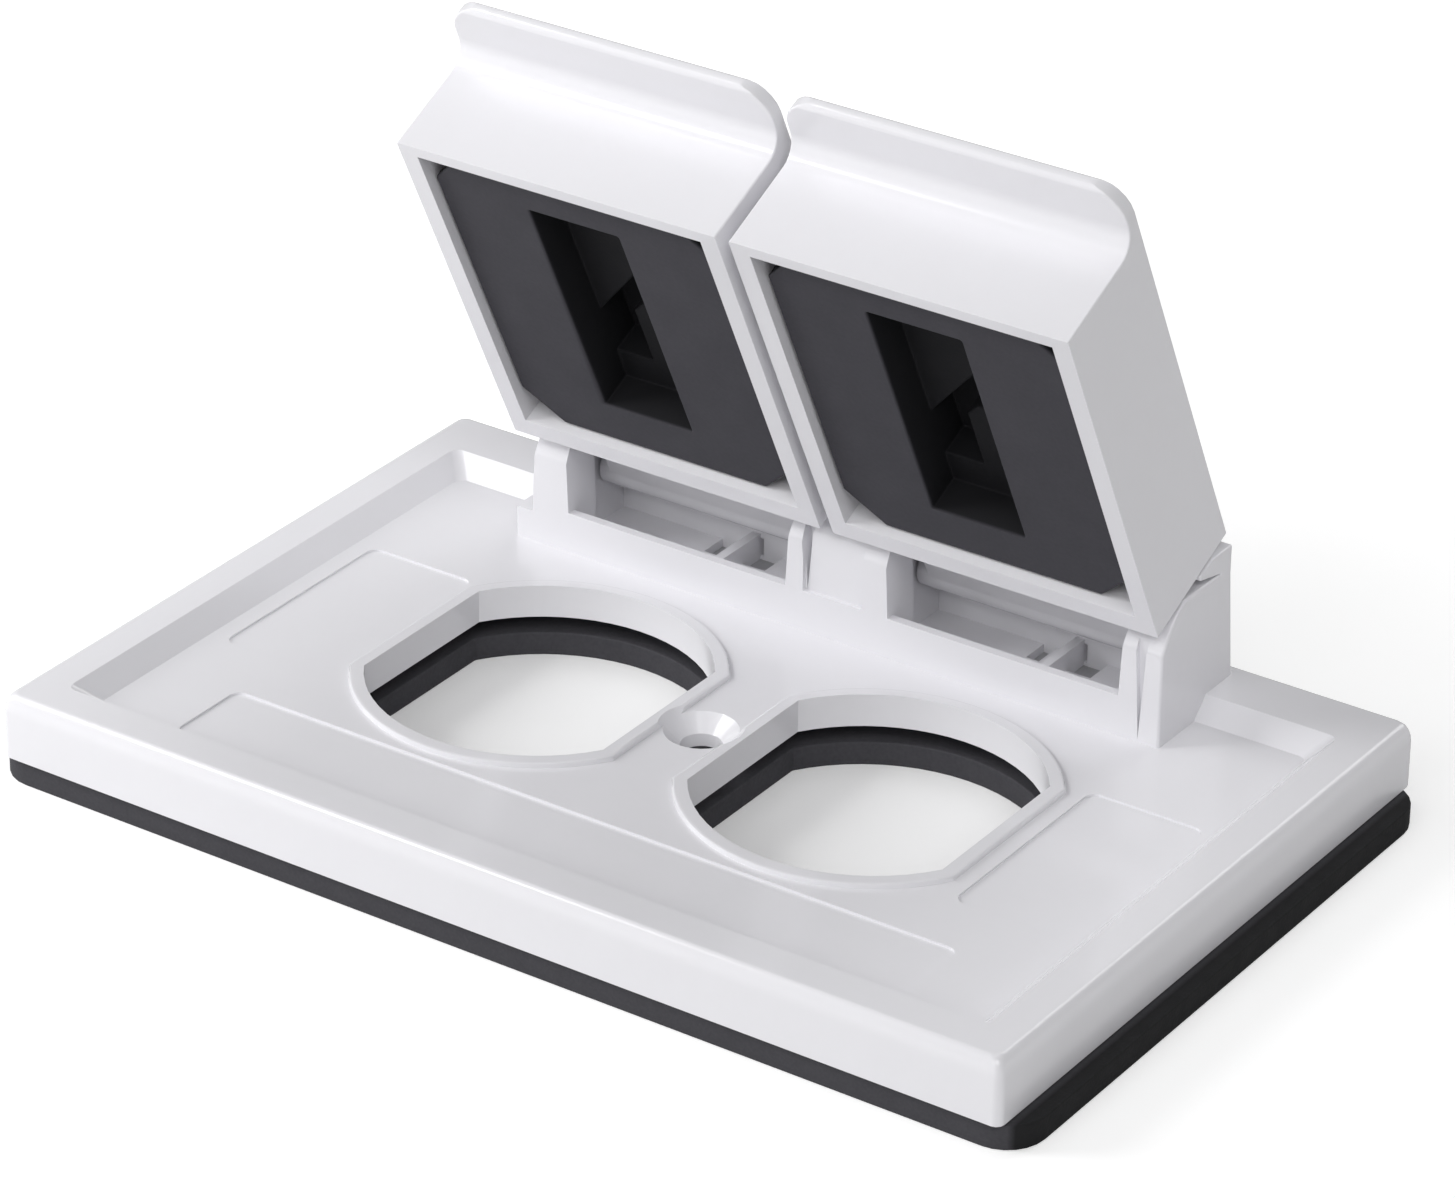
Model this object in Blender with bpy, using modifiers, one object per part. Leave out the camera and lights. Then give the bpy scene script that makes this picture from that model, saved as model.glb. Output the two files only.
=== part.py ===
# Weatherproof cover for a duplex outlet: a moulded plate on a foam wall gasket, with a hinge housing
# along its back and two lids on snapped-in trunnions that swing down over the receptacle openings.
# The plate lies flat, long side along X, hinge side towards +Y, lids standing open on their stops.

import math

import bmesh
import bpy
from mathutils import Matrix, Vector

MM = 0.001

# Fits shared by all pieces
SEAT_GAP = 0.3 * MM
SWING_CLEARANCE = 0.35 * MM
OVERSHOOT = 2.0 * MM

# Wall gasket
GASKET_THICKNESS = 2.6 * MM
GASKET_END_OVERHANG = 2.0 * MM
GASKET_SIDE_INSET = 0.5 * MM
GASKET_OPENING_MARGIN = 0.6 * MM
GASKET_CORNER_RADIUS = 4.2 * MM

# Cover plate
PLATE_LENGTH = 115.2 * MM
PLATE_WIDTH = 75.2 * MM
PLATE_CORNER_RADIUS = 0.9 * MM
PLATE_EDGE_ROUND_WIDTH = 1.0 * MM
PLATE_EDGE_ROUND_HEIGHT = 2.0 * MM
SKIRT_THICKNESS = 2.2 * MM
HOLLOW_DEPTH = 1.85 * MM
FLOOR_THICKNESS = 3.0 * MM
RIM_RISE = 2.1 * MM
RIM_END_WIDTH = 4.5 * MM
RIM_FRONT_WIDTH = 4.7 * MM
RIM_BACK_WIDTH = 7.1 * MM
RECESS_SLOPE = 2.1 * MM
RECESS_CORNER_RADIUS = 1.0 * MM

# Shallow sunk panels in the floor: one along the front and one beside each end opening
PANEL_DEPTH = 0.25 * MM
PANEL_SHIFT = 0.45 * MM
PANEL_CORNER_RADIUS = 1.2 * MM
PANEL_COLLAR_GAP = 1.1 * MM
FRONT_PANEL_END_MARGIN = 8.9 * MM
FRONT_PANEL_FOOT_GAP = 0.25 * MM
END_PANEL_COLLAR_GAP = 1.3 * MM
END_PANEL_WIDTH = 12.7 * MM
END_PANEL_LENGTH = 24.5 * MM
END_PANEL_OFFSET = -0.5 * MM

# Receptacle openings, the standard duplex faces, and the centre screw
OPENING_RADIUS = 17.34 * MM
OPENING_HALF_FLAT = 14.5 * MM
OPENING_OFFSET = -0.85 * MM
COLLAR_WIDTH = 1.5 * MM
COLLAR_RISE = 0.55 * MM
COLLAR_EDGE_ROUND = 0.35 * MM
COLLAR_SPACING = 6.89 * MM
SCREW_HOLE_RADIUS = 2.1 * MM
COUNTERSINK_RADIUS = 3.75 * MM
COUNTERSINK_DEPTH = 1.6 * MM

# Lids, measured with the lid shut: length runs away from the hinge, depth stands up from the rim
LID_WIDTH = 37.36 * MM
LID_GAP = 1.53 * MM
LID_LENGTH = 43.27 * MM
LID_DEPTH = 13.85 * MM
LID_SIDE_WALL = 2.06 * MM
LID_FRONT_WALL = 1.41 * MM
LID_HINGE_WALL = 2.36 * MM
LID_TOP_WALL = 1.8 * MM
LID_EDGE_ROUND = 0.7 * MM
LID_COLLAR_CLEARANCE = 0.25 * MM
LIP_REACH = 7.05 * MM
LIP_THICKNESS = 1.5 * MM
LIP_FILLET = 2.4 * MM
LIP_CORNER_RADIUS = 3.8 * MM

# Lid pads, soft seals that close on the collars
PAD_RECESS = 1.03 * MM
PAD_HINGE_CHAMFER = 4.0 * MM
PAD_FRONT_CHAMFER = 3.4 * MM
PAD_SLOT_WIDTH = 10.6 * MM
PAD_SLOT_LENGTH = 29.0 * MM
PAD_SLOT_DEPTH = 4.2 * MM
PAD_SLOT_OFFSET = 0.5 * MM
PAD_SLOT_SHIFT = -0.28 * MM
PAD_NOTCH_DEPTH = 3.6 * MM
PAD_NOTCH_SLANT = 12.4 * MM
PAD_NOTCH_FRONT_MARGIN = 6.5 * MM
PAD_NOTCH_HINGE_MARGIN = 3.9 * MM
PAD_LEDGE_WIDTH = 6.2 * MM
PAD_LEDGE_LENGTH = 9.2 * MM
PAD_LEDGE_CHAMFER = 1.6 * MM

# Hinge
OPEN_ANGLE = math.radians(64.0)
HINGE_BACKSET = 9.91 * MM
HINGE_RISE = 6.03 * MM
BARREL_RADIUS = 2.0 * MM
TONGUE_THICKNESS = 3.4 * MM
TRUNNION_RADIUS = 1.2 * MM
TRUNNION_LENGTH = 1.8 * MM

# Hinge housing
HOUSING_END_WALL = 1.355 * MM
HOUSING_DEPTH = 12.65 * MM
HOUSING_HEIGHT = 14.55 * MM
HOUSING_GAP = 1.05 * MM
HOUSING_BACK_DRAFT = 1.1 * MM
HOUSING_BASE_FILLET = 0.8 * MM
HOUSING_EDGE_ROUND = 0.6 * MM
STOP_HEIGHT = 2.45 * MM
STOP_THICKNESS = 2.0 * MM
STOP_REACH = 4.0 * MM
STOP_TIP = 0.5 * MM
STOP_SINK = 1.0 * MM
STOP_EDGE_ROUND = 0.2 * MM
REAR_WALL = 1.05 * MM
WINDOW_LEFT = 12.7 * MM
WINDOW_RIGHT = 14.0 * MM
WINDOW_FLARE = 0.5 * MM
SILL_HEIGHT = 4.45 * MM
SILL_THICKNESS = 1.0 * MM
JAMB_DEPTH = 4.8 * MM
POCKET_WIDTH = 1.3 * MM
LEFT_STRIP_WIDTH = 3.05 * MM
RIGHT_STRIP_WIDTH = 2.1 * MM
PILLAR_RECESS = 0.5 * MM
GROOVE_PLACE = 2.38 * MM
GROOVE_WIDTH = 1.7 * MM
GROOVE_DEPTHS = {"left": 1.7 * MM, "right": 0.6 * MM}
FOOT_HEIGHT = 3.4 * MM
FOOT_REACH = 0.57 * MM
FOOT_STEP = 2.1 * MM
END_DRAFT = math.radians(2.5)

# Snap slots and web in the floor of each hinge pocket, placed from the lid's centre line, and the small
# upright slot in its rear wall
SLOT_LENGTH = 3.35 * MM
SLOT_DEPTH = 1.2 * MM
SLOTS = ((-0.75 * MM, 1.5 * MM), (4.575 * MM, 2.8 * MM))
WEB_PLACE = 2.2 * MM
WEB_THICKNESS = 1.0 * MM
WEB_HEIGHT = 2.0 * MM
REAR_SLOT_PLACE = 3.35 * MM
REAR_SLOT_WIDTH = 0.5 * MM
REAR_SLOT_HEIGHT = 1.5 * MM
REAR_SLOT_DEPTH = 0.6 * MM

# Heights and places that follow from the sizes above
SKIRT_BOTTOM = GASKET_THICKNESS + SEAT_GAP
FLOOR_UNDERSIDE = SKIRT_BOTTOM + HOLLOW_DEPTH
FLOOR_TOP = FLOOR_UNDERSIDE + FLOOR_THICKNESS
COLLAR_TOP = FLOOR_TOP + COLLAR_RISE
RIM_TOP = FLOOR_TOP + RIM_RISE
LID_RIM_Z = FLOOR_TOP + SEAT_GAP
OPENING_SPACING = max(LID_WIDTH + LID_GAP, 2 * (OPENING_HALF_FLAT + COLLAR_WIDTH) + COLLAR_SPACING)
LID_BACK = OPENING_OFFSET + OPENING_RADIUS + COLLAR_WIDTH + LID_COLLAR_CLEARANCE + LID_HINGE_WALL
HINGE_Y = LID_BACK + HINGE_BACKSET
HINGE_Z = LID_RIM_Z + HINGE_RISE
HOUSING_RADIUS = HINGE_BACKSET - SWING_CLEARANCE
HOUSING_FRONT = LID_BACK + HOUSING_GAP
HOUSING_BACK = HOUSING_FRONT + HOUSING_DEPTH
HOUSING_TOP = FLOOR_TOP + HOUSING_HEIGHT
SILL_TOP = FLOOR_TOP + SILL_HEIGHT
POCKET_BACK = HOUSING_BACK - REAR_WALL
BORE_REACH = POCKET_WIDTH + TRUNNION_LENGTH + SEAT_GAP
HOUSING_END = OPENING_SPACING / 2 + max(WINDOW_LEFT, WINDOW_RIGHT) + BORE_REACH + HOUSING_END_WALL
STOP_TOP = HOUSING_TOP + STOP_HEIGHT
LID_CENTRES = {"left": -OPENING_SPACING / 2, "right": OPENING_SPACING / 2}

WHITE = (0.86, 0.86, 0.87)
CHARCOAL = (0.055, 0.057, 0.065)
BLACK = (0.018, 0.018, 0.02)


def make_collection(name):
    collection = bpy.data.collections.new(name)
    bpy.context.scene.collection.children.link(collection)
    return collection


def make_material(name, colour, roughness):
    material = bpy.data.materials.new(name)
    material.use_nodes = True
    shader = material.node_tree.nodes["Principled BSDF"]
    shader.inputs["Base Color"].default_value = (*colour, 1.0)
    shader.inputs["Roughness"].default_value = roughness
    shader.inputs["Metallic"].default_value = 0.0
    return material


def add_object(name, mesh, collection, material=None):
    solid = bpy.data.objects.new(name, mesh)
    collection.objects.link(solid)
    if material:
        mesh.materials.append(material)
    else:
        solid.hide_render = True
        solid.display_type = "WIRE"
    return solid


def box(name, low, high, collection, material=None):
    """A box between two corners, its origin in its middle."""
    size = Vector(high) - Vector(low)
    mesh = bpy.data.meshes.new(name)
    shape = bmesh.new()
    bmesh.ops.create_cube(shape, size=1.0)
    bmesh.ops.scale(shape, vec=size, verts=shape.verts)
    shape.to_mesh(mesh)
    shape.free()
    solid = add_object(name, mesh, collection, material)
    solid.location = (Vector(low) + Vector(high)) / 2
    return solid


def rod(name, radius, x_range, collection, segments=32):
    """A cylinder along X, around the object's own origin."""
    low, high = x_range
    mesh = bpy.data.meshes.new(name)
    shape = bmesh.new()
    turn = Matrix.Rotation(math.pi / 2, 4, "Y")
    place = Matrix.Translation(((low + high) / 2, 0.0, 0.0)) @ turn
    bmesh.ops.create_cone(shape, cap_ends=True, segments=segments, radius1=radius, radius2=radius,
                          depth=high - low, matrix=place)
    shape.to_mesh(mesh)
    shape.free()
    return add_object(name, mesh, collection)


def outline_solid(name, points, low, high, along, collection, material=None):
    """A flat outline given depth along X, Y or Z; its points lie in the other two axes, in X, Y, Z order."""
    curve = bpy.data.curves.new(name, "CURVE")
    curve.dimensions = "2D"
    curve.fill_mode = "BOTH"
    curve.extrude = (high - low) / 2
    spline = curve.splines.new("POLY")
    spline.points.add(len(points) - 1)
    for point, (u, v) in zip(spline.points, points):
        point.co = (u, v, 0.0, 1.0)
    spline.use_cyclic_u = True
    guide = bpy.data.objects.new(name, curve)
    bpy.context.scene.collection.objects.link(guide)
    bpy.context.view_layer.update()
    mesh = bpy.data.meshes.new_from_object(guide.evaluated_get(bpy.context.evaluated_depsgraph_get()))
    bpy.data.objects.remove(guide)
    bpy.data.curves.remove(curve)
    middle = (low + high) / 2
    place = {
        "X": Matrix(((0, 0, 1, middle), (1, 0, 0, 0), (0, 1, 0, 0), (0, 0, 0, 1))),
        "Y": Matrix(((1, 0, 0, 0), (0, 0, -1, middle), (0, 1, 0, 0), (0, 0, 0, 1))),
        "Z": Matrix.Translation((0, 0, middle)),
    }[along]
    mesh.transform(place)
    shape = bmesh.new()
    shape.from_mesh(mesh)
    bmesh.ops.remove_doubles(shape, verts=shape.verts, dist=1e-6)
    bmesh.ops.dissolve_limit(shape, angle_limit=math.radians(0.5), verts=shape.verts, edges=shape.edges)
    bmesh.ops.recalc_face_normals(shape, faces=shape.faces)
    shape.to_mesh(mesh)
    shape.free()
    return add_object(name, mesh, collection, material)


def arc(centre, radius, start, stop, steps):
    """Points on an arc, angles in degrees, both ends included."""
    angles = [math.radians(start + (stop - start) * step / steps) for step in range(steps + 1)]
    return [(centre[0] + radius * math.cos(a), centre[1] + radius * math.sin(a)) for a in angles]


def rounded_rectangle(low, high, radii, steps=5):
    """Corner radii run anticlockwise from the low corner."""
    corners = ((low[0], low[1], 180), (high[0], low[1], 270), (high[0], high[1], 0), (low[0], high[1], 90))
    points = []
    for (x, y, start), radius in zip(corners, radii):
        centre = (x + radius if x == low[0] else x - radius, y + radius if y == low[1] else y - radius)
        points += arc(centre, radius, start, start + 90, steps)
    return points


def flatted_circle(centre, radius, half_flat, steps=20):
    """A circle with two straight sides that stand across X, the shape of a duplex receptacle face."""
    corner = math.degrees(math.acos(half_flat / radius))
    return (arc(centre, radius, corner, 180 - corner, steps)
            + arc(centre, radius, 180 + corner, 360 - corner, steps))


def boolean(solid, tool, operation):
    modifier = solid.modifiers.new(f"{operation.title()} {tool.name}", "BOOLEAN")
    modifier.operation = operation
    modifier.solver = "EXACT"
    modifier.object = tool


def soften(solid, width, segments=2, angle=50):
    """Rounds a solid's sharp edges."""
    modifier = solid.modifiers.new("Soften", "BEVEL")
    modifier.width = width
    modifier.segments = segments
    modifier.limit_method = "ANGLE"
    modifier.angle_limit = math.radians(angle)


def shade(solid, angle=35):
    solid.data.shade_smooth()
    solid.data.set_sharp_from_angle(angle=math.radians(angle))


def lofted_solid(name, rings, collection, material=None):
    """A solid through level rings of equally many points, given from the lowest up as (points, height)."""
    mesh = bpy.data.meshes.new(name)
    shape = bmesh.new()
    levels = [[shape.verts.new((x, y, height)) for x, y in points] for points, height in rings]
    shape.faces.new(reversed(levels[0]))
    shape.faces.new(levels[-1])
    for lower, upper in zip(levels, levels[1:]):
        for first in range(len(lower)):
            second = (first + 1) % len(lower)
            shape.faces.new((lower[first], lower[second], upper[second], upper[first]))
    shape.to_mesh(mesh)
    shape.free()
    return add_object(name, mesh, collection, material)


def plate_blank(collection, material, steps=5):
    """The plate's outer block, its upright corners tight and its top edge rolled over."""
    def ring(inset):
        half_length, half_width = PLATE_LENGTH / 2 - inset, PLATE_WIDTH / 2 - inset
        return rounded_rectangle((-half_length, -half_width), (half_length, half_width),
                                 [PLATE_CORNER_RADIUS] * 4, 3)

    rings = [(ring(0.0), SKIRT_BOTTOM)]
    for step in range(steps + 1):
        turn = math.pi / 2 * step / steps
        rings.append((ring(PLATE_EDGE_ROUND_WIDTH * (1 - math.cos(turn))),
                      RIM_TOP - PLATE_EDGE_ROUND_HEIGHT * (1 - math.sin(turn))))
    return lofted_solid("cover_plate", rings, collection, material)


def recess_cutter(collection):
    """The tray above the floor: a block with sloping sides that opens upwards."""
    def ring(spread):
        ends = PLATE_LENGTH / 2 - RIM_END_WIDTH + spread
        front, back = RIM_FRONT_WIDTH - PLATE_WIDTH / 2 - spread, PLATE_WIDTH / 2 - RIM_BACK_WIDTH + spread
        return rounded_rectangle((-ends, front), (ends, back), [RECESS_CORNER_RADIUS] * 4, 3)

    rings = [(ring(-RECESS_SLOPE), FLOOR_TOP),
             (ring(OVERSHOOT * RECESS_SLOPE / RIM_RISE), RIM_TOP + OVERSHOOT)]
    return lofted_solid("recess_cutter", rings, collection)


def panel_cutters(collection):
    """The three shallow panels, rectangles with rounded corners."""
    front_half = PLATE_LENGTH / 2 - RIM_END_WIDTH - RECESS_SLOPE - FRONT_PANEL_END_MARGIN
    front_low = RIM_FRONT_WIDTH + RECESS_SLOPE + FRONT_PANEL_FOOT_GAP - PLATE_WIDTH / 2
    front_high = OPENING_OFFSET - OPENING_RADIUS - COLLAR_WIDTH - PANEL_COLLAR_GAP
    near = OPENING_SPACING / 2 + OPENING_HALF_FLAT + COLLAR_WIDTH + END_PANEL_COLLAR_GAP
    far = near + END_PANEL_WIDTH
    middle = OPENING_OFFSET + END_PANEL_OFFSET
    low, high = middle - END_PANEL_LENGTH / 2, middle + END_PANEL_LENGTH / 2
    panels = {
        "front": ((PANEL_SHIFT - front_half, front_low), (PANEL_SHIFT + front_half, front_high)),
        "left_end": ((PANEL_SHIFT - far, low), (PANEL_SHIFT - near, high)),
        "right_end": ((PANEL_SHIFT + near, low), (PANEL_SHIFT + far, high)),
    }
    return [outline_solid(f"{name}_panel_cutter", rounded_rectangle(*corners, [PANEL_CORNER_RADIUS] * 4),
                          FLOOR_TOP - PANEL_DEPTH, FLOOR_TOP + OVERSHOOT, "Z", collection)
            for name, corners in panels.items()]


def housing_outline():
    """The housing from the side: an upright front, a top rolled round the hinge axis and a drafted back."""
    sink = FLOOR_TOP - FLOOR_THICKNESS / 2
    front_angle = math.degrees(math.acos((HOUSING_FRONT - HINGE_Y) / HOUSING_RADIUS))
    top_angle = 180 - math.degrees(math.asin((HOUSING_TOP - HINGE_Z) / HOUSING_RADIUS))
    fillet = HOUSING_BASE_FILLET
    foot = HOUSING_BACK + HOUSING_BACK_DRAFT
    points = [(HOUSING_FRONT, sink)]
    points += arc((HINGE_Y, HINGE_Z), HOUSING_RADIUS, front_angle, top_angle, 8)
    points += [(HOUSING_BACK, HOUSING_TOP)]
    points += arc((foot + fillet, RIM_TOP + fillet), fillet, 180, 270, 4)
    points += [(foot + fillet, sink)]
    return points


def stop_outline():
    """The lids' stop from the side: it leans forward from the housing's back to meet the open lids."""
    def under_lid(place):
        # The open lid's hinge wall is a line one backset from the axis.
        lean = (place - HINGE_Y) * math.cos(OPEN_ANGLE)
        return HINGE_Z + (HINGE_BACKSET - SEAT_GAP + lean) / math.sin(OPEN_ANGLE)

    root = HOUSING_BACK - STOP_THICKNESS
    tip = root - STOP_REACH
    reach = (STOP_TOP - HINGE_Z) * math.sin(OPEN_ANGLE) - HINGE_BACKSET + SEAT_GAP
    shoulder = HINGE_Y + reach / math.cos(OPEN_ANGLE)
    return [(root, HOUSING_TOP - STOP_SINK), (root, HOUSING_TOP), (tip, under_lid(tip) - STOP_TIP),
            (tip, under_lid(tip)), (shoulder, STOP_TOP), (HOUSING_BACK, STOP_TOP),
            (HOUSING_BACK, HOUSING_TOP - STOP_SINK)]


def build_housing(collection):
    """The housing block and the lids' stop along its back, before the windows are cut."""
    ends = (-HOUSING_END - FOOT_REACH, HOUSING_END)
    housing = outline_solid("hinge_housing", housing_outline(), *ends, "X", collection)
    soften(housing, HOUSING_EDGE_ROUND, 3)
    stop = outline_solid("lid_stop", stop_outline(), *ends, "X", collection)
    soften(stop, STOP_EDGE_ROUND)
    return housing, stop


def window_cutters(side, centre, collection):
    """One lid's window over its sill, the hinge pocket behind it, and what is cut or left in its floor."""
    left, right = centre - WINDOW_LEFT, centre + WINDOW_RIGHT
    above = HOUSING_TOP + 4 * OVERSHOOT
    flare = WINDOW_FLARE * (above - SILL_TOP) / (HOUSING_TOP - SILL_TOP)
    window = [(left, SILL_TOP), (right, SILL_TOP), (right + flare, above), (left - flare, above)]
    cutters = [
        outline_solid(f"{side}_window_cutter", window, HOUSING_FRONT - OVERSHOOT,
                      HOUSING_FRONT + JAMB_DEPTH + OVERSHOOT, "Y", collection),
        box(f"{side}_sill_pocket_cutter", (left, HOUSING_FRONT + SILL_THICKNESS, FLOOR_TOP),
            (right, HOUSING_FRONT + JAMB_DEPTH + OVERSHOOT, above), collection),
        box(f"{side}_pocket_cutter", (left - POCKET_WIDTH, HOUSING_FRONT + JAMB_DEPTH, FLOOR_TOP),
            (right + POCKET_WIDTH, POCKET_BACK, above), collection),
    ]
    for number, (place, width) in enumerate(SLOTS, start=1):
        cutters.append(box(f"{side}_snap_slot_cutter_{number}",
                           (centre + place - width / 2, POCKET_BACK - SLOT_LENGTH, FLOOR_TOP - SLOT_DEPTH),
                           (centre + place + width / 2, POCKET_BACK, FLOOR_TOP + OVERSHOOT), collection))
    middle = centre + REAR_SLOT_PLACE
    cutters.append(box(f"{side}_rear_slot_cutter",
                       (middle - REAR_SLOT_WIDTH / 2, POCKET_BACK - OVERSHOOT, FLOOR_TOP - SLOT_DEPTH / 2),
                       (middle + REAR_SLOT_WIDTH / 2, POCKET_BACK + REAR_SLOT_DEPTH,
                        FLOOR_TOP + REAR_SLOT_HEIGHT), collection))
    bore = rod(f"{side}_trunnion_bore_cutter", TRUNNION_RADIUS + SEAT_GAP,
               (left - BORE_REACH, right + BORE_REACH), collection)
    bore.location = (0.0, HINGE_Y, HINGE_Z)
    cutters.append(bore)
    groove = right + GROOVE_PLACE
    # The groove beside the middle pillar ends on the sill's ledge, and the one at the end runs to the floor.
    foot = SILL_TOP if side == "left" else FLOOR_TOP + SEAT_GAP
    wedge = [(groove - GROOVE_WIDTH / 2, HOUSING_TOP), (groove, foot),
             (groove + GROOVE_WIDTH / 2, HOUSING_TOP)]
    cutters.append(outline_solid(f"{side}_groove_cutter", wedge, HOUSING_FRONT - OVERSHOOT,
                                 HOUSING_FRONT + GROOVE_DEPTHS[side], "Y", collection))
    return cutters


def build_plate(parts, cutters, white):
    """Plate, collars and hinge housing, moulded in one piece."""
    plate = plate_blank(parts, white)
    boolean(plate, recess_cutter(cutters), "DIFFERENCE")
    inset = SKIRT_THICKNESS
    hollow = box("underside_cutter",
                 (-PLATE_LENGTH / 2 + inset, -PLATE_WIDTH / 2 + inset, SKIRT_BOTTOM - OVERSHOOT),
                 (PLATE_LENGTH / 2 - inset, PLATE_WIDTH / 2 - inset, FLOOR_UNDERSIDE), cutters)
    boolean(plate, hollow, "DIFFERENCE")
    for panel in panel_cutters(cutters):
        boolean(plate, panel, "DIFFERENCE")
    for block in build_housing(cutters):
        boolean(plate, block, "UNION")
    for side, centre in LID_CENTRES.items():
        place = (centre, OPENING_OFFSET)
        collar = outline_solid(
            f"{side}_collar",
            flatted_circle(place, OPENING_RADIUS + COLLAR_WIDTH, OPENING_HALF_FLAT + COLLAR_WIDTH),
            FLOOR_TOP - FLOOR_THICKNESS / 2, COLLAR_TOP, "Z", cutters)
        soften(collar, COLLAR_EDGE_ROUND)
        boolean(plate, collar, "UNION")
        opening = outline_solid(
            f"{side}_opening_cutter", flatted_circle(place, OPENING_RADIUS, OPENING_HALF_FLAT),
            SKIRT_BOTTOM, COLLAR_TOP + OVERSHOOT, "Z", cutters)
        boolean(plate, opening, "DIFFERENCE")
        for cutter in window_cutters(side, centre, cutters):
            boolean(plate, cutter, "DIFFERENCE")
        web = box(f"{side}_pocket_web",
                  (centre + WEB_PLACE, HOUSING_FRONT + SILL_THICKNESS / 2, FLOOR_TOP - FLOOR_THICKNESS / 2),
                  (centre + WEB_PLACE + WEB_THICKNESS, POCKET_BACK + REAR_WALL / 2, FLOOR_TOP + WEB_HEIGHT),
                  cutters)
        boolean(plate, web, "UNION")
    boolean(plate, middle_recess_cutter(cutters), "DIFFERENCE")
    boolean(plate, left_end_cutter(cutters), "DIFFERENCE")
    boolean(plate, screw_cutter(cutters), "DIFFERENCE")
    shade(plate)
    return plate


def middle_recess_cutter(collection):
    """Sets the pillar between the two window frames back, above the sill line."""
    low = LID_CENTRES["left"] + WINDOW_RIGHT + RIGHT_STRIP_WIDTH
    high = LID_CENTRES["right"] - WINDOW_LEFT - LEFT_STRIP_WIDTH
    return box("middle_recess_cutter", (low, HOUSING_FRONT - OVERSHOOT, SILL_TOP),
               (high, HOUSING_FRONT + PILLAR_RECESS, HOUSING_TOP + OVERSHOOT), collection)


def left_end_cutter(collection):
    """Steps and tapers the housing's left end in above its foot."""
    end = -HOUSING_END - FOOT_REACH
    foot = FLOOR_TOP + FOOT_HEIGHT
    peak = HOUSING_TOP + 4 * OVERSHOOT
    taper = (peak - foot) * math.tan(END_DRAFT)
    outline = [(end - OVERSHOOT, foot), (end + FOOT_STEP, foot), (end + FOOT_STEP + taper, peak),
               (end - OVERSHOOT, peak)]
    return outline_solid("left_end_cutter", outline, HOUSING_FRONT - OVERSHOOT,
                         HOUSING_BACK + HOUSING_BACK_DRAFT + HOUSING_BASE_FILLET + OVERSHOOT, "Y", collection)


def screw_cutter(collection):
    """The countersunk hole for the centre screw."""
    mesh = bpy.data.meshes.new("screw_cutter")
    solid = add_object("screw_cutter", mesh, collection)
    rise = COUNTERSINK_RADIUS - SCREW_HOLE_RADIUS
    top = FLOOR_TOP + OVERSHOOT
    profile = [(0.0, top), (COUNTERSINK_RADIUS + rise * OVERSHOOT / COUNTERSINK_DEPTH, top),
               (SCREW_HOLE_RADIUS, FLOOR_TOP - COUNTERSINK_DEPTH), (SCREW_HOLE_RADIUS, SKIRT_BOTTOM),
               (0.0, SKIRT_BOTTOM)]
    shape = bmesh.new()
    corners = [shape.verts.new((x, 0.0, z)) for x, z in profile]
    for first, second in zip(corners, corners[1:]):
        shape.edges.new((first, second))
    shape.to_mesh(mesh)
    shape.free()
    turn = solid.modifiers.new("Turn", "SCREW")
    turn.axis = "Z"
    turn.steps = turn.render_steps = 32
    turn.use_merge_vertices = True
    turn.merge_threshold = 1e-6
    solid.location = (0.0, OPENING_OFFSET, 0.0)
    return solid


def build_gasket(parts, cutters, black):
    half_length = PLATE_LENGTH / 2 + GASKET_END_OVERHANG
    half_width = PLATE_WIDTH / 2 - GASKET_SIDE_INSET
    outline = rounded_rectangle((-half_length, -half_width), (half_length, half_width),
                                [GASKET_CORNER_RADIUS] * 4, 6)
    gasket = outline_solid("wall_gasket", outline, 0.0, GASKET_THICKNESS, "Z", parts, black)
    low, high = -OVERSHOOT, GASKET_THICKNESS + OVERSHOOT
    for side, centre in LID_CENTRES.items():
        opening = outline_solid(
            f"{side}_gasket_opening_cutter",
            flatted_circle((centre, OPENING_OFFSET), OPENING_RADIUS + GASKET_OPENING_MARGIN,
                           OPENING_HALF_FLAT + GASKET_OPENING_MARGIN),
            low, high, "Z", cutters)
        boolean(gasket, opening, "DIFFERENCE")
    hole = outline_solid("gasket_screw_cutter", arc((0.0, OPENING_OFFSET), SCREW_HOLE_RADIUS, 0, 345, 23),
                         low, high, "Z", cutters)
    boolean(gasket, hole, "DIFFERENCE")
    shade(gasket)
    return gasket


def lid_outline():
    """The lid's side view, shut, about the hinge axis: a box with a finger lip along its top front edge."""
    back, rim = -HINGE_BACKSET, -HINGE_RISE
    front, top = back - LID_LENGTH, rim + LID_DEPTH
    tip, under = front - LIP_REACH, top - LIP_THICKNESS
    nose = LIP_THICKNESS / 2
    points = [(back, rim - OVERSHOOT), (back, top)]
    points += arc((tip + nose, top - nose), nose, 90, 270, 6)
    points += arc((front - LIP_FILLET, under - LIP_FILLET), LIP_FILLET, 90, 0, 6)
    points += [(front, rim - OVERSHOOT)]
    return points


def lid_tongue_outline():
    """The tongue that reaches from the lid's hinge wall to the barrel, seen from the side."""
    half = TONGUE_THICKNESS / 2
    root = -HINGE_BACKSET - LID_HINGE_WALL / 2
    return [(0.0, -half), (0.0, half), (root, half), (root, -half)]


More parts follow.
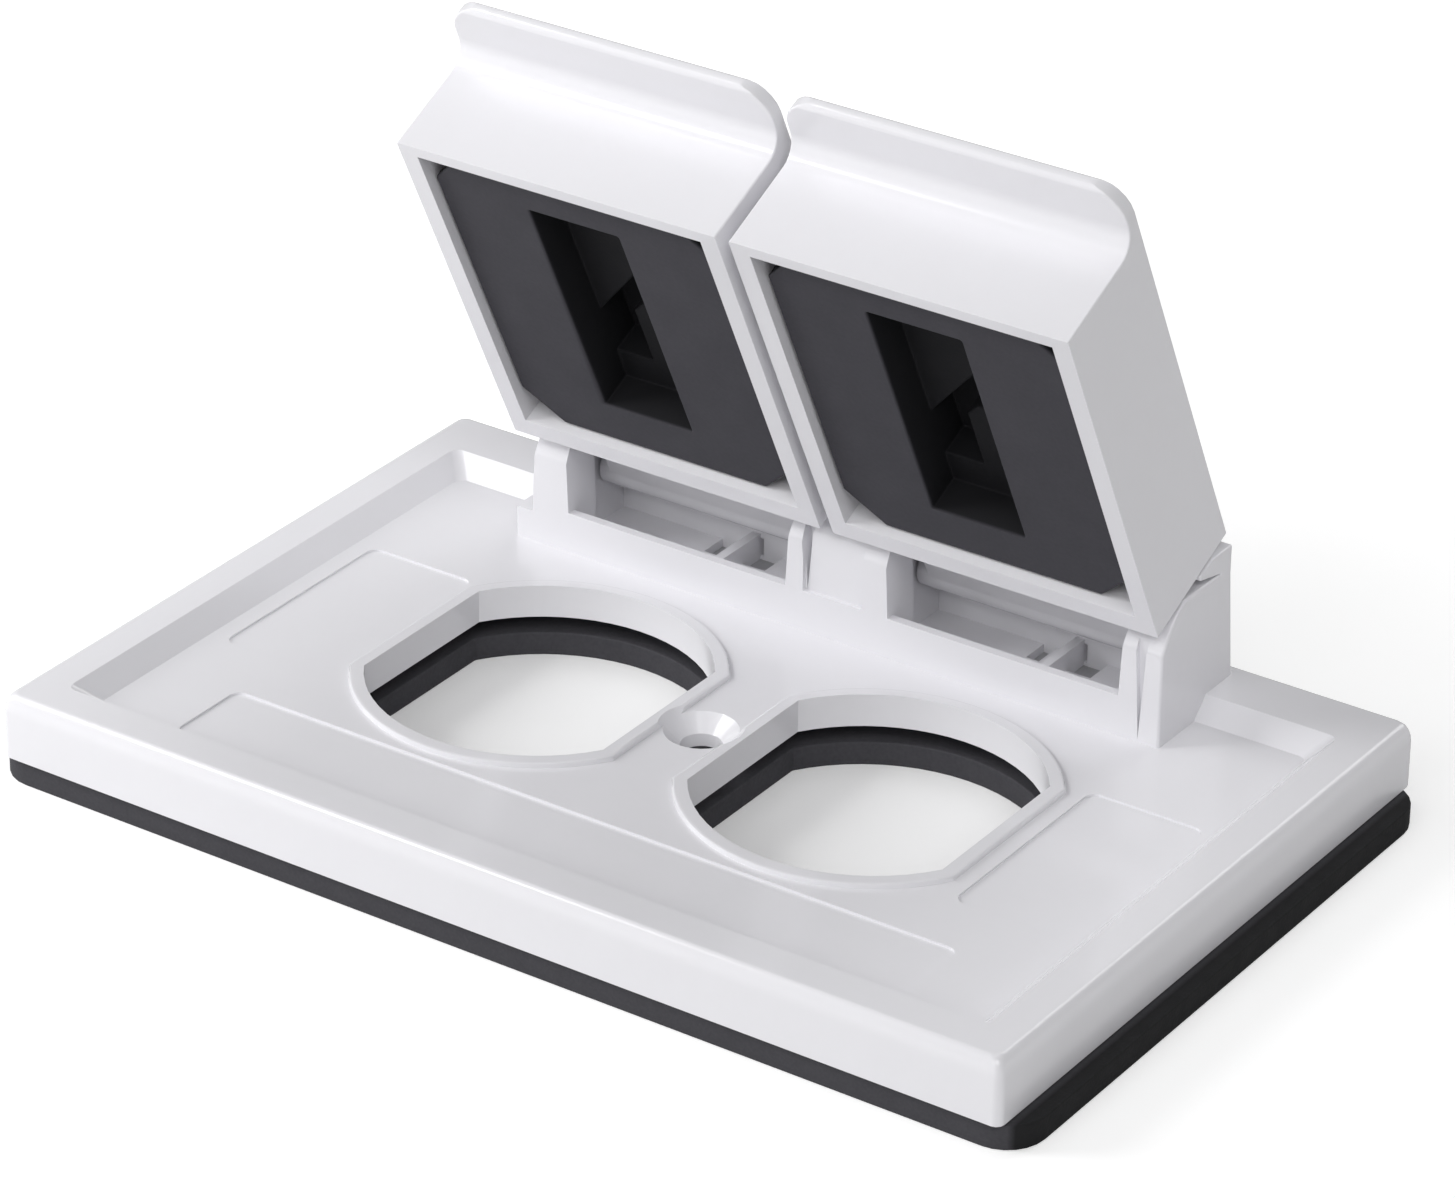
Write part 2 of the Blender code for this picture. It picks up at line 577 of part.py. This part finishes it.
def build_lid(side, centre, parts, cutters, white):
    """A boxed lid in one moulding with its finger lip, hinge tongue, barrel and trunnions."""
    half = LID_WIDTH / 2
    lid = outline_solid(f"{side}_lid", lid_outline(), -half, half, "X", parts, white)
    lip_end = -HINGE_BACKSET - LID_LENGTH - LIP_REACH
    plan = rounded_rectangle((-half, lip_end), (half, -lip_end), [LIP_CORNER_RADIUS] * 4, 6)
    trim = outline_solid(f"{side}_lip_plan", plan, -LID_DEPTH, LID_DEPTH, "Z", cutters)
    rim = box(f"{side}_rim_cutter", (-LID_WIDTH, lip_end - OVERSHOOT, -HINGE_RISE - 2 * OVERSHOOT),
              (LID_WIDTH, OVERSHOOT, -HINGE_RISE), cutters)
    hollow = box(
        f"{side}_lid_hollow_cutter",
        (-half + LID_SIDE_WALL, -HINGE_BACKSET - LID_LENGTH + LID_FRONT_WALL, -HINGE_RISE - OVERSHOOT),
        (half - LID_SIDE_WALL, -HINGE_BACKSET - LID_HINGE_WALL, -HINGE_RISE + LID_DEPTH - LID_TOP_WALL),
        cutters)
    pocket = (-WINDOW_LEFT - POCKET_WIDTH, WINDOW_RIGHT + POCKET_WIDTH)
    tongue = outline_solid(f"{side}_tongue", lid_tongue_outline(), -WINDOW_LEFT + SWING_CLEARANCE,
                           WINDOW_RIGHT - SWING_CLEARANCE, "X", cutters)
    barrel = rod(f"{side}_barrel", BARREL_RADIUS, (pocket[0] + SEAT_GAP, pocket[1] - SEAT_GAP), cutters)
    trunnions = rod(f"{side}_trunnions", TRUNNION_RADIUS,
                    (pocket[0] - TRUNNION_LENGTH, pocket[1] + TRUNNION_LENGTH), cutters)
    boolean(lid, trim, "INTERSECT")
    soften(lid, LID_EDGE_ROUND, 3)
    boolean(lid, rim, "DIFFERENCE")
    boolean(lid, hollow, "DIFFERENCE")
    for piece in (tongue, barrel, trunnions):
        boolean(lid, piece, "UNION")
    for tool in (trim, rim, hollow, tongue, barrel, trunnions):
        tool.parent = lid
    shade(lid)
    return lid


def build_pad(side, parts, cutters, charcoal):
    """A soft pad that fills the lid, with cut corners and a deep slot with a slanting notch in it."""
    half = LID_WIDTH / 2 - LID_SIDE_WALL - SEAT_GAP
    back = -HINGE_BACKSET - LID_HINGE_WALL - SEAT_GAP
    front = -HINGE_BACKSET - LID_LENGTH + LID_FRONT_WALL + SEAT_GAP
    near, far = PAD_HINGE_CHAMFER, PAD_FRONT_CHAMFER
    face = -HINGE_RISE + PAD_RECESS
    outline = [(-half, front + far), (-half + far, front), (half - far, front), (half, front + far),
               (half, back - near), (half - near, back), (-half + near, back), (-half, back - near)]
    pad = outline_solid(f"{side}_lid_pad", outline, face,
                        -HINGE_RISE + LID_DEPTH - LID_TOP_WALL - SEAT_GAP, "Z", parts, charcoal)
    middle = (front + back) / 2 - PAD_SLOT_OFFSET
    low, high = middle - PAD_SLOT_LENGTH / 2, middle + PAD_SLOT_LENGTH / 2
    left, right = PAD_SLOT_SHIFT - PAD_SLOT_WIDTH / 2, PAD_SLOT_SHIFT + PAD_SLOT_WIDTH / 2
    slot = box(f"{side}_pad_slot_cutter", (left, low, face - OVERSHOOT), (right, high, face + PAD_SLOT_DEPTH),
               cutters)
    start, stop = low + PAD_NOTCH_FRONT_MARGIN, high - PAD_NOTCH_HINGE_MARGIN
    ledge, end = right - PAD_LEDGE_WIDTH, stop - PAD_LEDGE_LENGTH
    notch_outline = [(left, stop), (left, start + PAD_NOTCH_SLANT), (right, start), (right, end),
                     (ledge + PAD_LEDGE_CHAMFER, end), (ledge, end + PAD_LEDGE_CHAMFER), (ledge, stop)]
    notch = outline_solid(f"{side}_pad_notch_cutter", notch_outline, face,
                          face + PAD_SLOT_DEPTH + PAD_NOTCH_DEPTH, "Z", cutters)
    for tool in (slot, notch):
        boolean(pad, tool, "DIFFERENCE")
        tool.parent = pad
    shade(pad)
    return pad


def hinge_empty(side, centre, collection):
    """The hinge axis of one lid, turned to where the lid stands open on its stop."""
    axis = bpy.data.objects.new(f"{side}_hinge_axis", None)
    collection.objects.link(axis)
    axis.location = (centre, HINGE_Y, HINGE_Z)
    axis.rotation_euler = (-OPEN_ANGLE, 0.0, 0.0)
    return axis


def main():
    for item in list(bpy.data.objects):
        bpy.data.objects.remove(item)
    parts = make_collection("weatherproof_outlet_cover")
    cutters = make_collection("cutters")
    white = make_material("gloss_white_plastic", WHITE, 0.22)
    charcoal = make_material("charcoal_foam", CHARCOAL, 0.75)
    black = make_material("black_foam", BLACK, 0.8)
    build_gasket(parts, cutters, black)
    build_plate(parts, cutters, white)
    for side, centre in LID_CENTRES.items():
        axis = hinge_empty(side, centre, parts)
        build_lid(side, centre, parts, cutters, white).parent = axis
        build_pad(side, parts, cutters, charcoal).parent = axis


main()
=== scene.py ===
import math

import bmesh
import bpy
from mathutils import Matrix, Vector


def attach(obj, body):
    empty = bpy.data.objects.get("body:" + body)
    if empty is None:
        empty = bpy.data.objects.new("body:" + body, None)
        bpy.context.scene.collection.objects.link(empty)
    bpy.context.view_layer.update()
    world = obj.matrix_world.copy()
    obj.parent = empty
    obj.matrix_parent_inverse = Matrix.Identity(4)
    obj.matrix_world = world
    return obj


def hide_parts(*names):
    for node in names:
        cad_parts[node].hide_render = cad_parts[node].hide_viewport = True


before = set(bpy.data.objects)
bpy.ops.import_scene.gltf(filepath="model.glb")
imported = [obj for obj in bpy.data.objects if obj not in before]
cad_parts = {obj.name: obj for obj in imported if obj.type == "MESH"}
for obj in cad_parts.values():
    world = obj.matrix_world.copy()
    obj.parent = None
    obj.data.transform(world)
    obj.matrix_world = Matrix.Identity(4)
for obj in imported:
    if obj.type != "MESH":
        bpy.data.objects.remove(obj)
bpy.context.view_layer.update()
MM = 0.001


# Cover plate. One moulding in gloss white thermoplastic: the sunk floor, the raised collars round the two
# receptacle openings, the countersunk screw hole and the hinge housing all come out of the same tool.
# Its corners are broken by the mould's small radii, which carry the soft lines of light in the photo.
PLATE_CORNER_BREAK = 0.22 * MM
CORNER_ANGLE = math.radians(32)
CORNER_STEPS = 3
MERGE_DISTANCE = 0.002 * MM
FLAT_ANGLE = math.radians(0.8)
WHITE = (0.815, 0.81, 0.84)
WHITE_SHADE = (0.79, 0.785, 0.815)
WHITE_ROUGHNESS = (0.1, 0.22)


def placed(name, data):
    """Puts a named object into the scene, at the origin."""
    thing = bpy.data.objects.new(name, data)
    bpy.context.scene.collection.objects.link(thing)
    return thing


def merged_mesh(node, name):
    """A copy of a node's mesh with its triangles joined up and its flat faces made whole."""
    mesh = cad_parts[node].data.copy()
    mesh.name = name
    mesh.materials.clear()
    shape = bmesh.new()
    shape.from_mesh(mesh)
    bmesh.ops.remove_doubles(shape, verts=shape.verts, dist=MERGE_DISTANCE)
    bmesh.ops.dissolve_limit(shape, angle_limit=FLAT_ANGLE, verts=shape.verts, edges=shape.edges)
    shape.to_mesh(mesh)
    shape.free()
    return mesh


def apply_modifiers(piece):
    """Gives a piece a mesh of its own with its modifiers worked into it."""
    bpy.context.view_layer.update()
    mesh = bpy.data.meshes.new_from_object(piece.evaluated_get(bpy.context.evaluated_depsgraph_get()))
    piece.modifiers.clear()
    piece.data = mesh


def dressed(name, node, body, corner_break, material):
    """Stands for a node: its own form in a material, with every corner rounded by a small radius."""
    piece = placed(name, merged_mesh(node, name))
    piece.data.shade_smooth()
    rounding = piece.modifiers.new("Corner break", "BEVEL")
    rounding.width = corner_break
    rounding.segments = CORNER_STEPS
    rounding.limit_method = "ANGLE"
    rounding.angle_limit = CORNER_ANGLE
    rounding.miter_outer = "MITER_ARC"
    evening = piece.modifiers.new("Even shading", "WEIGHTED_NORMAL")
    evening.keep_sharp = True
    evening.weight = 100
    apply_modifiers(piece)
    piece.data.materials.append(material)
    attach(piece, body)
    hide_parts(node)
    return piece


def grain_group():
    """Soft waves and fine grain over a moulded or foamed skin, as masks and one height."""
    group = bpy.data.node_groups.new("skin_grain", "ShaderNodeTree")
    for label, default in (("Wave Size", 0.004), ("Grain Size", 0.0005), ("Grain Share", 0.5)):
        socket = group.interface.new_socket(label, in_out="INPUT", socket_type="NodeSocketFloat")
        socket.default_value = default
    for label in ("Wave", "Grain", "Height"):
        group.interface.new_socket(label, in_out="OUTPUT", socket_type="NodeSocketFloat")
    nodes, links = group.nodes, group.links
    entry, leave = nodes.new("NodeGroupInput"), nodes.new("NodeGroupOutput")
    place = nodes.new("ShaderNodeTexCoord")
    masks = []
    for label, detail in (("Wave", 1.0), ("Grain", 3.0)):
        rate = nodes.new("ShaderNodeMath")
        rate.operation = "DIVIDE"
        rate.inputs[0].default_value = 1.0
        links.new(entry.outputs[f"{label} Size"], rate.inputs[1])
        noise = nodes.new("ShaderNodeTexNoise")
        noise.inputs["Detail"].default_value = detail
        links.new(place.outputs["Object"], noise.inputs["Vector"])
        links.new(rate.outputs[0], noise.inputs["Scale"])
        links.new(noise.outputs["Fac"], leave.inputs[label])
        masks.append(noise.outputs["Fac"])
    blend = nodes.new("ShaderNodeMix")
    blend.data_type = "FLOAT"
    links.new(entry.outputs["Grain Share"], blend.inputs["Factor"])
    links.new(masks[0], blend.inputs["A"])
    links.new(masks[1], blend.inputs["B"])
    links.new(blend.outputs["Result"], leave.inputs["Height"])
    return group


def depth_group():
    """How far a point lies behind a face, from 0 on the face to 1 at the given reach."""
    group = bpy.data.node_groups.new("depth_behind_face", "ShaderNodeTree")
    for label, kind in (("Direction", "NodeSocketVector"), ("Face", "NodeSocketFloat"), ("Reach", "NodeSocketFloat")):
        group.interface.new_socket(label, in_out="INPUT", socket_type=kind)
    group.interface.new_socket("Depth", in_out="OUTPUT", socket_type="NodeSocketFloat")
    nodes, links = group.nodes, group.links
    entry, leave = nodes.new("NodeGroupInput"), nodes.new("NodeGroupOutput")
    place = nodes.new("ShaderNodeTexCoord")
    along = nodes.new("ShaderNodeVectorMath")
    along.operation = "DOT_PRODUCT"
    links.new(place.outputs["Object"], along.inputs[0])
    links.new(entry.outputs["Direction"], along.inputs[1])
    behind = nodes.new("ShaderNodeMath")
    behind.operation = "SUBTRACT"
    links.new(along.outputs["Value"], behind.inputs[0])
    links.new(entry.outputs["Face"], behind.inputs[1])
    share = nodes.new("ShaderNodeMath")
    share.operation = "DIVIDE"
    share.use_clamp = True
    links.new(behind.outputs[0], share.inputs[0])
    links.new(entry.outputs["Reach"], share.inputs[1])
    links.new(share.outputs[0], leave.inputs["Depth"])
    return group


def skin(name, colours, roughness, wave, grain, share, relief, strength, sheen=0.5, painted_shade_inside=None):
    """A moulded or foamed surface: its colour and gloss drift with the waves, its grain stands up in a bump.

    Where a shade colour is given, as a colour, a direction, a face and a reach, the surface turns to that
    colour behind the face: painted shade in a recess or on a side turned from the light.
    """
    material = bpy.data.materials.new(name)
    material.use_nodes = True
    nodes, links = material.node_tree.nodes, material.node_tree.links
    shader = nodes["Principled BSDF"]
    shader.inputs["Specular IOR Level"].default_value = sheen
    texture = nodes.new("ShaderNodeGroup")
    texture.node_tree = skin_grain
    texture.inputs["Wave Size"].default_value = wave
    texture.inputs["Grain Size"].default_value = grain
    texture.inputs["Grain Share"].default_value = share
    tint = nodes.new("ShaderNodeMix")
    tint.data_type = "RGBA"
    tint.inputs["A"].default_value = (*colours[0], 1.0)
    tint.inputs["B"].default_value = (*colours[1], 1.0)
    links.new(texture.outputs["Height"], tint.inputs["Factor"])
    surface = tint.outputs["Result"]
    # The colour behind the face is painted shade.
    if painted_shade_inside:
        colour, direction, face, reach = painted_shade_inside
        depth = nodes.new("ShaderNodeGroup")
        depth.node_tree = depth_behind_face
        depth.inputs["Direction"].default_value = direction
        depth.inputs["Face"].default_value = face
        depth.inputs["Reach"].default_value = reach
        shade_mix = nodes.new("ShaderNodeMix")
        shade_mix.data_type = "RGBA"
        shade_mix.inputs["B"].default_value = (*colour, 1.0)
        links.new(depth.outputs["Depth"], shade_mix.inputs["Factor"])
        links.new(surface, shade_mix.inputs["A"])
        surface = shade_mix.outputs["Result"]
    links.new(surface, shader.inputs["Base Color"])
    gloss = nodes.new("ShaderNodeMapRange")
    gloss.inputs["To Min"].default_value = roughness[0]
    gloss.inputs["To Max"].default_value = roughness[1]
    links.new(texture.outputs["Wave"], gloss.inputs["Value"])
    links.new(gloss.outputs["Result"], shader.inputs["Roughness"])
    bump = nodes.new("ShaderNodeBump")
    bump.inputs["Strength"].default_value = strength
    bump.inputs["Distance"].default_value = relief
    links.new(texture.outputs["Height"], bump.inputs["Height"])
    links.new(bump.outputs["Normal"], shader.inputs["Normal"])
    return material


skin_grain = grain_group()
depth_behind_face = depth_group()
white_plastic = skin("white_plastic", (WHITE, WHITE_SHADE), roughness=WHITE_ROUGHNESS,
                     wave=6 * MM, grain=0.9 * MM, share=0.35, relief=0.03 * MM, strength=0.35)
dressed("cover_plate_moulding", "cover_plate", "base", PLATE_CORNER_BREAK, white_plastic)


# Wall gasket. Die-cut black closed-cell foam that seals the plate to the wall, a little longer than the plate.
# Its cut edges are slightly soft and show fine cells. Its right end, beyond the plate, is painted near-black as
# painted shade on the side turned from the light.
GASKET_EDGE = 0.25 * MM
GASKET_COLOURS = ((0.07, 0.069, 0.077), (0.046, 0.045, 0.051))
# The right end's near-black colour is painted shade, mixed in beyond the plate's end.
GASKET_END_PAINTED_SHADE = (0.014, 0.014, 0.015)
GASKET_END_PLACE = 57.7 * MM
GASKET_END_REACH = 0.6 * MM
FOAM_SHEEN = 0.15
black_foam = skin("black_foam", GASKET_COLOURS, roughness=(0.62, 0.8),
                  wave=2.5 * MM, grain=0.35 * MM, share=0.8, relief=0.08 * MM, strength=0.6, sheen=FOAM_SHEEN,
                  painted_shade_inside=(GASKET_END_PAINTED_SHADE, (1.0, 0.0, 0.0), GASKET_END_PLACE, GASKET_END_REACH))
gasket = dressed("foam_wall_gasket", "wall_gasket", "base", GASKET_EDGE, black_foam)


# Lids. Two deep box lids with a finger lip, in the plate's gloss white plastic. Each is one moulding with the
# hinge tongue, barrel and trunnions that snap into the housing, and rides on its own hinge.
SIDES = ("left", "right")
LID_CORNER_BREAK = 0.2 * MM
for side in SIDES:
    dressed(f"{side}_lid_moulding", f"{side}_lid", f"{side}_cover", LID_CORNER_BREAK, white_plastic)


# Lid pads. A charcoal foam block fills each lid and closes on the collar. It is pressed in, its corners are cut
# off, and a deep slot in it clears the receptacle's face. The slot is painted darker behind the pad's face, as
# painted shade in the recess.
PAD_EDGE = 0.2 * MM
PAD_COLOURS = ((0.066, 0.064, 0.074), (0.05, 0.049, 0.057))
# The slot's near-black colour is painted shade, at full strength a little behind the pad's face.
PAD_SLOT_PAINTED_SHADE = (0.014, 0.014, 0.016)
PAD_FACE_PLACE = 28.59 * MM
PAD_SHADE_REACH = 0.4 * MM
OPEN_ANGLE = math.radians(64)
into_pad = (0.0, math.sin(OPEN_ANGLE), math.cos(OPEN_ANGLE))
charcoal_foam = skin("charcoal_foam", PAD_COLOURS, roughness=(0.6, 0.76),
                     wave=5 * MM, grain=0.45 * MM, share=0.7, relief=0.05 * MM, strength=0.45, sheen=FOAM_SHEEN,
                     painted_shade_inside=(PAD_SLOT_PAINTED_SHADE, into_pad, PAD_FACE_PLACE, PAD_SHADE_REACH))
for side in SIDES:
    pad = dressed(f"{side}_lid_foam_pad", f"{side}_lid_pad", f"{side}_cover", PAD_EDGE, charcoal_foam)


# Snap slots. Two small moulded slots in the floor of each hinge pocket. A thin grey patch lies on the blind floor
# of each: painted shade that darkens the slot bottoms.
SLOT_CENTRES = (-19.445 * MM, 19.445 * MM)
SLOT_PLACES = ((-0.75 * MM, 1.5 * MM), (4.575 * MM, 2.8 * MM))
SLOT_RANGE = (29.9 * MM, 33.25 * MM)
SLOT_FLOOR = 6.55 * MM
PATCH_THICKNESS = 0.25 * MM
PATCH_CLEARANCE = 0.05 * MM
# The patches' grey is painted shade in the slots.
SLOT_SHADE_PATCH_COLOURS = ((0.45, 0.45, 0.465), (0.37, 0.37, 0.385))
slot_shade_patch = skin("slot_shade_patch", SLOT_SHADE_PATCH_COLOURS, roughness=(0.65, 0.8),
                 wave=2.5 * MM, grain=0.35 * MM, share=0.8, relief=0.05 * MM, strength=0.5)
for side, centre in zip(SIDES, SLOT_CENTRES):
    for number, (place, width) in enumerate(SLOT_PLACES, start=1):
        half = Vector((width / 2 - PATCH_CLEARANCE, (SLOT_RANGE[1] - SLOT_RANGE[0]) / 2 - PATCH_CLEARANCE,
                       PATCH_THICKNESS / 2))
        middle = Vector((centre + place, sum(SLOT_RANGE) / 2, SLOT_FLOOR + PATCH_CLEARANCE + half.z))
        name = f"{side}_slot_foam_{number}"
        mesh = bpy.data.meshes.new(name)
        shape = bmesh.new()
        bmesh.ops.create_cube(shape, size=2.0, matrix=Matrix.Translation(middle) @ Matrix.Diagonal((*half, 1.0)))
        shape.to_mesh(mesh)
        shape.free()
        mesh.materials.append(slot_shade_patch)
        foam = placed(name, mesh)
        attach(foam, "base")


# Studio. A wide pale floor that runs out of view, seen as white by the camera where no shadow falls on it. Under the
# cover, where it shows through the openings, its glow is weaker: painted shade where the cover shades the floor.
FLOOR_HALF_SIZE = 6.0
FLOOR_COLOUR = (0.86, 0.86, 0.86)
FLOOR_LIFT = 0.35
# The weaker glow under the cover is painted shade.
COVERED_LIFT = 0.14
COVERED_HALF = (0.058, 0.036)
floor_mesh = bpy.data.meshes.new("studio_floor")
corners = [(-1, -1), (1, -1), (1, 1), (-1, 1)]
floor_mesh.from_pydata([(x * FLOOR_HALF_SIZE, y * FLOOR_HALF_SIZE, 0.0) for x, y in corners], [], [(0, 1, 2, 3)])
floor = placed("studio_floor", floor_mesh)
floor_material = bpy.data.materials.new("studio_floor")
floor_material.use_nodes = True
nodes, links = floor_material.node_tree.nodes, floor_material.node_tree.links
shader = nodes["Principled BSDF"]
shader.inputs["Base Color"].default_value = (*FLOOR_COLOUR, 1.0)
shader.inputs["Roughness"].default_value = 1.0
shader.inputs["Specular IOR Level"].default_value = 0.0
shader.inputs["Emission Color"].default_value = (1.0, 1.0, 1.0, 1.0)
place = nodes.new("ShaderNodeTexCoord")
spread = nodes.new("ShaderNodeVectorMath")
spread.operation = "ABSOLUTE"
links.new(place.outputs["Object"], spread.inputs[0])
axes = nodes.new("ShaderNodeSeparateXYZ")
links.new(spread.outputs["Vector"], axes.inputs[0])
covered = nodes.new("ShaderNodeMath")
covered.operation = "MULTIPLY"
for number, (axis, half) in enumerate(zip("XY", COVERED_HALF)):
    within = nodes.new("ShaderNodeMath")
    within.operation = "LESS_THAN"
    within.inputs[1].default_value = half
    links.new(axes.outputs[axis], within.inputs[0])
    links.new(within.outputs[0], covered.inputs[number])
glow = nodes.new("ShaderNodeMapRange")
glow.inputs["To Min"].default_value = FLOOR_LIFT
glow.inputs["To Max"].default_value = COVERED_LIFT
links.new(covered.outputs[0], glow.inputs["Value"])
path = nodes.new("ShaderNodeLightPath")
lift = nodes.new("ShaderNodeMath")
lift.operation = "MULTIPLY"
links.new(path.outputs["Is Camera Ray"], lift.inputs[0])
links.new(glow.outputs["Result"], lift.inputs[1])
links.new(lift.outputs[0], shader.inputs["Emission Strength"])
floor_mesh.materials.append(floor_material)

# Light. A soft box close by on the left with a small one for the glints beside it, two wide soft lights from the
# front and the front right, a low light from behind and an even, dim surround that the camera sees as white.
BOX_AZIMUTH, BOX_ELEVATION = math.radians(-65), math.radians(30)
BOX_DISTANCE = 0.5
BOX_SIZE = 0.35
BOX_POWER = 1.38
GLINT_AZIMUTH, GLINT_ELEVATION = math.radians(-46), math.radians(42)
GLINT_SIZE = 0.1
GLINT_POWER = 0.3
WIDE_LIGHTS = {"front": (0, 30, 0.6), "front_right": (42, 45, 1.04), "behind": (175, 30, 0.9)}
WIDE_SPREAD = math.radians(35)
SURROUND = 0.145


def towards(azimuth, elevation):
    """The unit direction from the object to a lamp or the camera."""
    return Vector((math.sin(azimuth) * math.cos(elevation), -math.cos(azimuth) * math.cos(elevation),
                   math.sin(elevation)))


def lamp(name, kind, direction, distance=1.0):
    """A lamp that shines on the object from a direction."""
    light = bpy.data.lights.new(name, kind)
    holder = placed(name, light)
    holder.location = direction * distance
    holder.rotation_euler = direction.to_track_quat("Z", "Y").to_euler()
    return light


soft_box = lamp("soft_box", "AREA", towards(BOX_AZIMUTH, BOX_ELEVATION), BOX_DISTANCE)
soft_box.size = BOX_SIZE
soft_box.energy = BOX_POWER
glint_box = lamp("glint_box", "AREA", towards(GLINT_AZIMUTH, GLINT_ELEVATION), BOX_DISTANCE)
glint_box.size = GLINT_SIZE
glint_box.energy = GLINT_POWER
for name, (azimuth, elevation, strength) in WIDE_LIGHTS.items():
    wide = lamp(f"{name}_light", "SUN", towards(math.radians(azimuth), math.radians(elevation)))
    wide.energy = strength
    wide.angle = WIDE_SPREAD
world = bpy.data.worlds.new("surround")
bpy.context.scene.world = world
world.use_nodes = True
nodes, links = world.node_tree.nodes, world.node_tree.links
backdrop = nodes["Background"]
backdrop.inputs["Color"].default_value = (1.0, 1.0, 1.0, 1.0)
path = nodes.new("ShaderNodeLightPath")
strength = nodes.new("ShaderNodeMapRange")
strength.inputs["To Min"].default_value = SURROUND
strength.inputs["To Max"].default_value = 1.0
links.new(path.outputs["Is Camera Ray"], strength.inputs["Value"])
links.new(strength.outputs["Result"], backdrop.inputs["Strength"])
bpy.context.scene.view_settings.view_transform = "Standard"


# Camera, at the photo's own angle and distance.
VIEW_AZIMUTH, VIEW_ELEVATION, VIEW_ROLL = map(math.radians, (34.213, 28.293, 0.597))
VIEW_TARGET = Vector((-3.15, 8.06, 17.29)) * MM
VIEW_DISTANCE = 603.577 * MM
PHOTO_WIDTH = 1455
FOCAL_PIXELS = 6173.521
SENSOR_WIDTH = 36.0
back = towards(VIEW_AZIMUTH, VIEW_ELEVATION)
level = Vector((math.cos(VIEW_AZIMUTH), math.sin(VIEW_AZIMUTH), 0.0))
upright = back.cross(level)
turned = math.cos(VIEW_ROLL) * level + math.sin(VIEW_ROLL) * upright
raised = -math.sin(VIEW_ROLL) * level + math.cos(VIEW_ROLL) * upright
camera_data = bpy.data.cameras.new("camera")
camera_data.sensor_fit = "HORIZONTAL"
camera_data.sensor_width = SENSOR_WIDTH
camera_data.lens = FOCAL_PIXELS / PHOTO_WIDTH * SENSOR_WIDTH
camera_data.clip_start = 10 * MM
camera = placed("camera", camera_data)
stand = Matrix((turned, raised, back)).transposed().to_4x4()
stand.translation = VIEW_TARGET + VIEW_DISTANCE * back
camera.matrix_world = stand
bpy.context.scene.camera = camera
